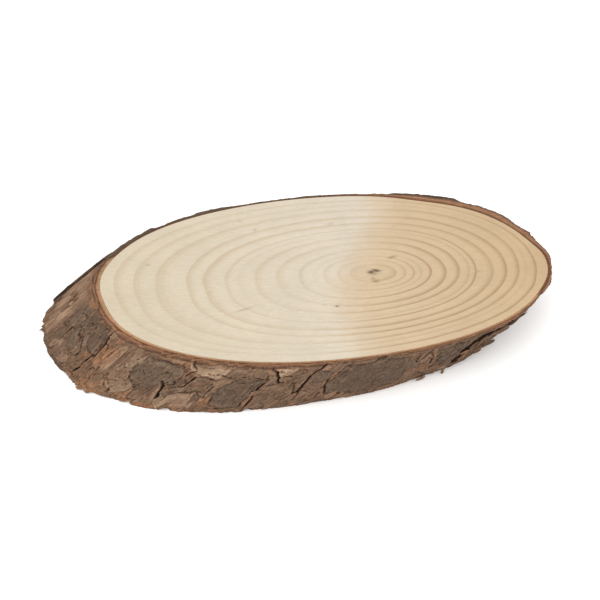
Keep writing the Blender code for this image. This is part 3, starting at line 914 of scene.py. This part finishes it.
def buildBark():
    # Ring: from the inner top edge out over the sawn rim, down the skin, in under the slice and up again
    degrees = barkColumns()
    inside = woodRadius(degrees)
    flush = between(degrees, *barkRing["flush"])

    def swaying(key, noise):
        # A size of the rim round the log, in metres, from its mean and swing in mm
        mean, swing = barkRing[key]
        return mm * (mean + swing * noise)

    topDrop = swaying("topDrop", np.abs(barkNoise(degrees, 0.0, "topEdge"))) * (1.0 - 0.65 * flush)
    lowRise = swaying("lowRise", np.clip(barkNoise(degrees, 0.0, "lowEdge"), 0.0, 1.0))
    down = np.linspace(0.0, 1.0, barkRing["sideRows"])[:, None]
    height = (thickness - topDrop) * (1.0 - down) + lowRise * down
    side = barkSkin(degrees, height)
    # Sawn rim: a band of inner bark level with the wood, and a strip of it down to the outer bark
    band = swaying("band", barkNoise(degrees, 0.0, "band")) - mm * bump(degrees, *barkRing["thinBand"])
    band = np.minimum(band, barkRing["mostBand"] * mm * blurred(crestAt(degrees), 1))
    strip = swaying("strip", barkNoise(degrees, 0.0, "strip"))
    below = (thickness - height) / (strip * (1.0 - bump(degrees, *barkRing["thinStrip"])))
    shoulder = band + swaying("shoulder", below)
    skin = shoulder + (side["skin"] - shoulder) * np.maximum(ease((below - 0.45) / 0.55), flush)
    inner = (1.0 - ease((below - 0.95) / 0.25)) * (1.0 - flush)
    # Painted shadow line just under the strip of inner bark
    stripShadowLine = 0.80 * (1.0 - flush) * np.exp(-((below - 1.05) / 0.24) ** 2)
    # Dark grey along the far side, light at the left end and round the right end
    rimGrey = 0.85 * between(degrees, *barkRing["rimGrey"])
    rimLight = bump(degrees, *barkRing["rimLight"]) + 0.25 * barkNoise(degrees, 0.0, "rimLight")
    rimLight = rimLight + flush * between(degrees, *barkRing["rimPale"])
    # Rows over the inner bark, over the outer bark's rim, down the side and under the slice
    bandShare = np.linspace(0.0, 1.0, 5)[:, None]
    rimShare, rimDrop, underShare, layers, darker = (
        np.array(barkRing[key])[:, None]
        for key in ("rimShares", "rimDrops", "underShares", "farLayers", "farDarker"))

    def column(*parts):
        # Four groups of rows, each spread over all the columns
        rows = (len(bandShare), len(rimShare), len(down), len(underShare))
        return np.vstack([np.broadcast_to(part, (count, degrees.size))
                          for part, count in zip(parts, rows)])

    tuck = barkRing["tuck"]
    outer = inside + skin
    under = inside - tuck + (outer[-1:] - inside + tuck) * underShare
    radius = column(inside - tuck + (band + tuck) * bandShare,
                    inside + band + (outer[:1] - inside - band) * rimShare, outer, under)
    allHeight = column(thickness - 0.08 * mm - 0.12 * mm * bandShare ** 4, thickness - topDrop * rimDrop,
                       height, lowRise * underShare ** 2)
    # Painted shade where the skin lies under its blurred mean, and a painted highlight where it stands
    # above it
    cavityShading = sum(0.5 * (blurred(skin, reach) - skin) / (deep * mm) for reach, deep in barkRing["cavityShadingScales"])
    # Along the far side: a thin dark line at the wood itself, then light brown, dark again at the outside
    lined = flush * between(degrees, *barkRing["lined"])
    farDark = between(degrees, *barkRing["farDark"])
    outerDark = farDark * ease((rimShare - 0.45) / 0.3)
    nearRim = 0.41 + 0.14 * rimShare ** 0.5
    across = column(bandShare * 0.4 + lined * (0.36 + 0.10 * bandShare ** 2 - 0.4 * bandShare),
                    nearRim + flush * (layers + farDark * darker - nearRim),
                    0.5 + 0.4 * np.clip(below, 0.0, 1.25), (under - inside) / (outer[-1:] - inside))
    return gridMesh("barkRing", logPoint(degrees, allHeight, radius), {
        "grey": column(rimGrey * bandShare ** 2, np.maximum(rimGrey, 0.6 * outerDark),
                       side["grey"] + (rimGrey - side["grey"]) * inner, 0.0),
        "light": column(rimLight, rimLight - 1.4 * outerDark,
                        side["light"] + (rimLight - side["light"]) * inner, 0.0),
        "depth": column(0.0, 0.0, np.maximum(side["depth"] * (1.0 - inner), stripShadowLine), 0.0),
        "raw": column(0.0, 0.0, side["raw"], 0.0),
        "cavityShading": column(0.0, 0.0, np.clip(cavityShading, -1.0, 1.0) * (1.0 - 0.7 * inner), 0.0),
        "cut": column(1.0, 1.0, inner, 1.0),
        "across": np.clip(across, 0.0, 1.0),
    }, ring=True)


barkFinish = {
    # Noises: cells per metre, detail, roughness
    "grain": (1000.0, 3.0, 0.6),
    "patches": (300.0, 4.0, 0.65),
    "specks": (1400.0, 2.0),
    "grainStretch": (1.0, 1.0, 6.0),
    "ground": "#705643",
    "plates": "#5c4c3f",
    "dust": "#8e7661",
    "torn": "#8a6347",
    # fissures: the colour of the painted shade in fissures, cracks, pocks, under the strip and under
    # flakes
    "fissures": "#2a1c12",
    "greyRim": "#54493b",
    # Layers of the sawn rim from the wood outwards: orange inner bark, a dark line, brown outer bark
    "layers": (
        (0, "#946c4d"), (0.05, "#a78464"), (0.15, "#a07a5a"), (0.29, "#956d4f"), (0.38, "#5c3d2a"),
        (0.44, "#573826"), (0.53, "#866349"), (0.75, "#74533e"), (0.88, "#54392a"), (1, "#524033"),
    ),
    "shader": {"Roughness": 0.92, "Specular IOR Level": 0.15},
    "bump": {"Strength": 0.6, "Distance": 0.0005},
}


def weatheredBark():
    # Dry pine bark as it grew: grey weathered plates, brown ground, orange where freshly torn, all matt
    material, tree, shader, place, read = newMaterial(
        "weatheredBark", ("grey", "light", "depth", "raw", "cavityShading", "cut", "across"))
    # The log's own axes: grain is stretched along the lean
    turned = {"Vector": place, "Rotation": (0, logShape["lean"], 0), "Scale": barkFinish["grainStretch"]}
    along = addNode(tree, "ShaderNodeMapping", turned, vector_type="TEXTURE")
    grain = noiseNode(tree, along.outputs[0], *barkFinish["grain"])
    patches = noiseNode(tree, place, *barkFinish["patches"])
    specks = noiseNode(tree, place, *barkFinish["specks"])
    greyer = mathNode(tree, "MULTIPLY_ADD", patches, 2.4, read["grey"])
    greyer = mathNode(tree, "SUBTRACT", greyer, 1.25, clamp=True)
    colour = mixNode(tree, greyer, barkFinish["ground"], barkFinish["plates"])
    dusty = mathNode(tree, "MULTIPLY", read["light"], 1.1, clamp=True)
    colour = mixNode(tree, dusty, colour, barkFinish["dust"])
    colour = mixNode(tree, read["raw"], colour, barkFinish["torn"])
    # Tone: plate by plate, streaked by the grain, speckled, with painted shade in hollows and a painted
    # highlight on ridges, and the painted shade of the right side through the light attribute
    tone = mathNode(tree, "MULTIPLY_ADD", read["light"], 0.40, -0.64)
    for value, weight in ((grain, 1.20), (specks, 1.10), (patches, 0.98), (read["cavityShading"], -0.60)):
        tone = mathNode(tree, "MULTIPLY_ADD", value, weight, tone)
    colour = scaleNode(tree, colour, mathNode(tree, "MAXIMUM", tone, 0.25))
    # Painted shade in fissures, cracks, pocks, under the strip and under flakes, after the depth
    # attribute
    colour = mixNode(tree, read["depth"], colour, barkFinish["fissures"])
    # Sawn rim: its layers, greyed along the far side
    layers = addNode(tree, "ShaderNodeValToRGB", {"Fac": read["across"]})
    ramp = layers.color_ramp
    ramp.elements.remove(ramp.elements[1])
    for position, hexText in barkFinish["layers"][1:]:
        ramp.elements.new(position).color = linearColour(hexText)
    ramp.elements[0].position = barkFinish["layers"][0][0]
    ramp.elements[0].color = linearColour(barkFinish["layers"][0][1])
    sawn = mixNode(tree, read["grey"], layers.outputs["Color"], barkFinish["greyRim"])
    sawnTone = rangeNode(tree, patches, 0.3, 0.7, 0.75, 1.15)
    sawnTone = mathNode(tree, "MULTIPLY_ADD", read["light"], 0.30, sawnTone)
    # Fine layers in the sawn bark, about half a millimetre each, that wander with the patches
    ply = mathNode(tree, "MULTIPLY_ADD", patches, 0.5, read["across"])
    ply = mathNode(tree, "SINE", mathNode(tree, "MULTIPLY", ply, 60.0))
    sawnTone = mathNode(tree, "MULTIPLY_ADD", ply, 0.13, sawnTone)
    speckled = mathNode(tree, "MULTIPLY_ADD", specks, 0.9, -0.45)
    sawn = scaleNode(tree, sawn, mathNode(tree, "ADD", sawnTone, speckled))
    colour = mixNode(tree, read["cut"], colour, sawn)
    rough = mathNode(tree, "ADD", grain, specks)
    relief = addNode(tree, "ShaderNodeBump", {"Height": rough, **barkFinish["bump"]})
    setInputs(tree, shader, {"Base Color": colour, "Normal": relief.outputs[0], **barkFinish["shader"]})
    return material


barkMaterial = weatheredBark()
bark = buildBark()
bark.data.materials.append(barkMaterial)
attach(bark, "root")
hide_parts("bark")
print("bark made:", len(bark.data.polygons), "faces")


# Loose flakes, shards and splinters of the same bark

barkFlakes = {
    "rings": 5,
    "around": 16,
    "seed": 23,
    # Each flake: degrees, height in mm, half sizes across and along in mm, thickness, lift, the way it
    # lifts in degrees, seat in mm under the crest, grey, light, raw
    "placed": (
        (-40.6, 21, 1.6, 3, 0.8, 0.7, 180, 0.4, 0.5, -0.9, 0),
        (-44.5, 12.5, 1.3, 4.6, 0.6, 1.1, 180, 0.7, 0.5, -0.1, 0.1),
        (-48.7, 20.4, 0.16, 2.3, 0.25, 0.2, 10, 0.5, 0.5, 0.1, 0),
        (-49.8, 18.6, 0.14, 3, 0.25, 0.2, 0, 0.7, 0.5, -0.1, 0),
        (-50.6, 15.6, 0.4, 2.6, 0.35, 0.3, 0, 0.6, 0.5, -0.3, 0),
        (-54.6, 10, 1.2, 3.8, 0.45, 0.6, 0, 0.5, 0.6, 0, 0),
        (-46.2, 4.8, 1.1, 1.7, 0.9, 1, -40, 0.8, 0.8, -0.6, 0),
        (-42, 6, 1.1, 2, 1.1, 1.4, -20, 0.4, 0.2, -0.7, 0.3),
        (-37.2, 6.2, 2.1, 2.3, 1.3, 1.9, -8, 0.1, 0.5, -1, 0),
        (-40, 16, 1.2, 3.6, 0.6, 1.1, 0, 0.5, 0.6, -0.2, 0),
        (-36.8, 14.8, 0.3, 1.5, 0.35, 1.4, -60, 0.5, 0.9, -0.8, 0),
        (-50.8, 1.9, 0.5, 2, 0.5, 1.8, -90, 0.2, 0.4, -0.2, 0.1),
        (-53, 2, 1, 1.4, 0.7, 0.7, -80, 1, 0.1, -0.3, 0.3),
        (-57, 1.6, 1.6, 1.6, 0.7, 0.7, -90, 0.2, 0.4, 0, 0.2),
        (175.5, 1.4, 0.6, 1.5, 0.4, 0.3, -90, 0.4, 0.5, -0.4, 0),
        (-171, 4.8, 2.2, 3, 0.6, 0.6, -90, 0.4, 0.3, 0.3, 0),
        (-144, 1.5, 2.1, 1.3, 0.5, 1.1, -100, 0.4, 0, -0.1, 0.7),
        (-141.2, 1.2, 1.6, 1.1, 0.5, 0.8, -80, 0.4, 0, -0.2, 0.7),
        (-126.6, 1.5, 2, 1.3, 0.5, 0.4, -100, 1.2, 0, -0.3, 0.8),
        (-123.4, 1.2, 1.7, 1.1, 0.5, 0.5, -60, 0.9, 0, -0.4, 0.8),
        (-130.5, 1.1, 1.5, 1, 0.5, 0.3, -90, 1.9, 0, 0, 0.6),
        (154.4, 11, 2, 14.5, 1.2, 0.2, 0, 0.9, 0.5, -1.3, 0),
        (152.6, 15.5, 1.2, 9, 0.6, 0.4, 10, 0.3, 0.7, -0.6, 0),
        (52.6, 23.4, 4, 2.2, 0.9, 0.5, 90, 0.8, 0.9, -1, 0),
        (57.4, 23.2, 4, 2.2, 0.9, 0.6, 80, 0.8, 0.9, -0.9, 0),
        (62.6, 23.4, 3.8, 2, 0.9, 0.5, 90, 0.8, 0.8, -1, 0),
    ),
    "scattered": 170,
    # Limits of the same for the scattered ones: small, and longer along the log than across it
    "limits": ((-180, 180), (2, 21.5), (0.7, 1.9), (1.2, 3.4), (0.25, 0.45), (0.1, 0.7), (-180, 180),
               (0.35, 0.8), (0.1, 1), (-0.3, 0.4), (0, 0.3)),
    "waves": (2, 3, 5, 7),             # per turn, that make the outline rough
    "waveHeight": 0.11,
    "heights": (0.1, 0.5),             # mm that a flake keeps off the ground and off the upper face
    # underShade: painted shade on the flakes' undersides
    "underShade": 0.35,
}


def buildFlakes():
    # Each is a thin slab with a rough outline, seated on the skin and lifted towards one side:
    # lift * (0.5 + 0.5 * way) ** 2, thickness falling off as 1 - 0.7 * reach ** 4
    dice = random.Random(barkFlakes["seed"])
    scattered = tuple(tuple(dice.uniform(*limits) for limits in barkFlakes["limits"])
                      for _ in range(barkFlakes["scattered"]))
    table = np.array(barkFlakes["placed"] + scattered)[:, :, None, None]
    middle, level, halfAcross, halfAlong, thick, lift, way, seat, grey, light, raw = table.swapaxes(0, 1)
    outward = np.linspace(0.0, 1.0, barkFlakes["rings"] + 1)
    reach = np.concatenate([outward, outward[::-1]])[None, :, None]
    sign = np.concatenate([outward * 0.0 + 1.0, outward * 0.0 - 1.0])[None, :, None]
    turn = np.linspace(0.0, 2.0 * math.pi, barkFlakes["around"], endpoint=False)[None, None, :]
    phases = np.random.default_rng(barkFlakes["seed"]).uniform(0.0, 2.0 * math.pi, (len(table), 4))
    rough = 1.0
    for k, count in enumerate(barkFlakes["waves"]):
        rough = rough + barkFlakes["waveHeight"] * np.cos(count * turn + phases[:, k, None, None])
    degrees = middle + halfAcross * reach * np.cos(turn) * rough / mmPerDegree
    height = (level + halfAlong * reach * np.sin(turn) * rough / stretch) * mm
    lowest, highest = barkFlakes["heights"]
    height = np.clip(height, lowest * mm, thickness - highest * mm)
    towards = reach * np.cos(turn - np.radians(way))
    out = crestAt(degrees) - seat + lift * (0.5 + 0.5 * towards) ** 2
    out = out + sign * 0.5 * thick * (1.0 - 0.7 * reach ** 4)
    points = logPoint(degrees, height, woodRadius(degrees) + out * mm)
    index = np.arange(points[..., 0].size).reshape(points.shape[:-1])
    following = np.roll(index, -1, axis=2)
    faces = [
        np.stack([index[:, 1:-2], following[:, 1:-2], following[:, 2:-1], index[:, 2:-1]], axis=-1),
        np.stack(np.broadcast_arrays(index[:, 0, :1], following[:, 1], index[:, 1]), axis=-1),
        np.stack(np.broadcast_arrays(index[:, -1, :1], index[:, -2], following[:, -2]), axis=-1),
    ]
    return meshObject("barkFlakes", points, faces, {
        "grey": grey,
        "light": light,
        # Painted shade on the flakes' undersides
        "depth": barkFlakes["underShade"] * (sign < 0.0),
        "raw": raw,
        # Painted highlight, growing towards the flake's rim
        "cavityShading": -0.5 * reach ** 3,
        "cut": 0.0,
        "across": 1.0,
    })


flakes = buildFlakes()
flakes.data.materials.append(barkMaterial)
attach(flakes, "root")
print("flakes made:", len(flakes.data.polygons), "faces")
